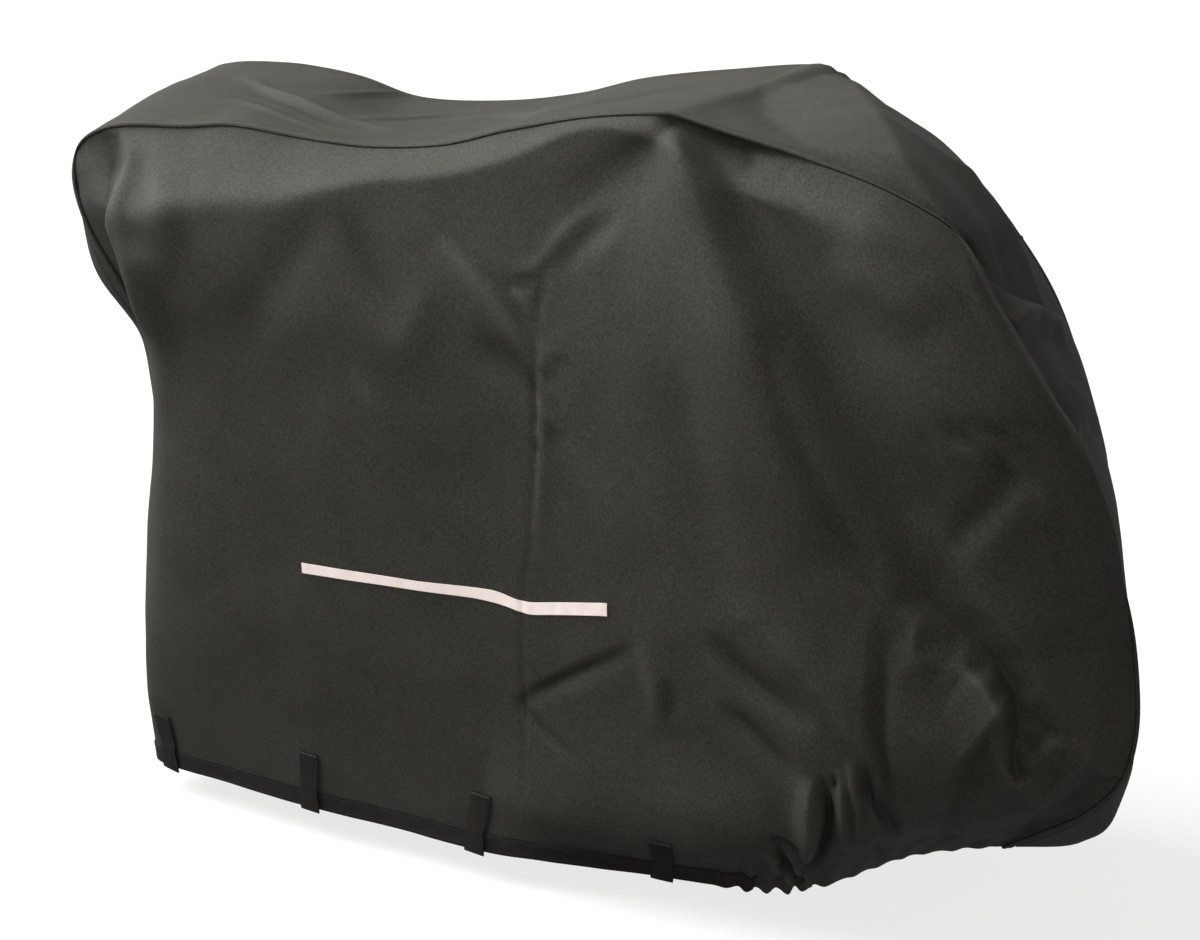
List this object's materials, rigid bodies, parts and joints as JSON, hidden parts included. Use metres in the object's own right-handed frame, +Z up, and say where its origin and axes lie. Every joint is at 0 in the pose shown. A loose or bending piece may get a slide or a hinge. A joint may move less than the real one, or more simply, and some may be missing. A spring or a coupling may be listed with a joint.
{
  "type": "mobility scooter cover",
  "caption": "Fitted cloth cover for a mobility scooter, hanging hollow with soft folds, a top gusset, hem webbing in belt loops and a reflective strip.",
  "frame": {"origin": "the point under the middle of the top gusset on which the hidden scooter carries the cover", "axes": "+X forward along the scooter towards its front wheel, +Y to its left, +Z up; the near side panel with the reflective strip faces -Y"},
  "size_m": [1.4736, 0.6222, 0.9967],
  "materials": {
    "cover_cloth": "matt coated woven polyester",
    "webbing": "matt woven webbing",
    "reflective_tape": "pale reflective tape"
  },
  "bodies": {
    "root": {"side_panel_near": "cover_cloth", "side_panel_far": "cover_cloth", "top_gusset": "cover_cloth", "reflective_strip": "reflective_tape", "hem_webbing": "webbing", "belt_loop_near_1": "webbing", "belt_loop_far_1": "webbing", "belt_loop_near_2": "webbing", "belt_loop_far_2": "webbing", "belt_loop_near_3": "webbing", "belt_loop_far_3": "webbing", "belt_loop_near_4": "webbing", "belt_loop_far_4": "webbing"}
  },
  "joints": []
}
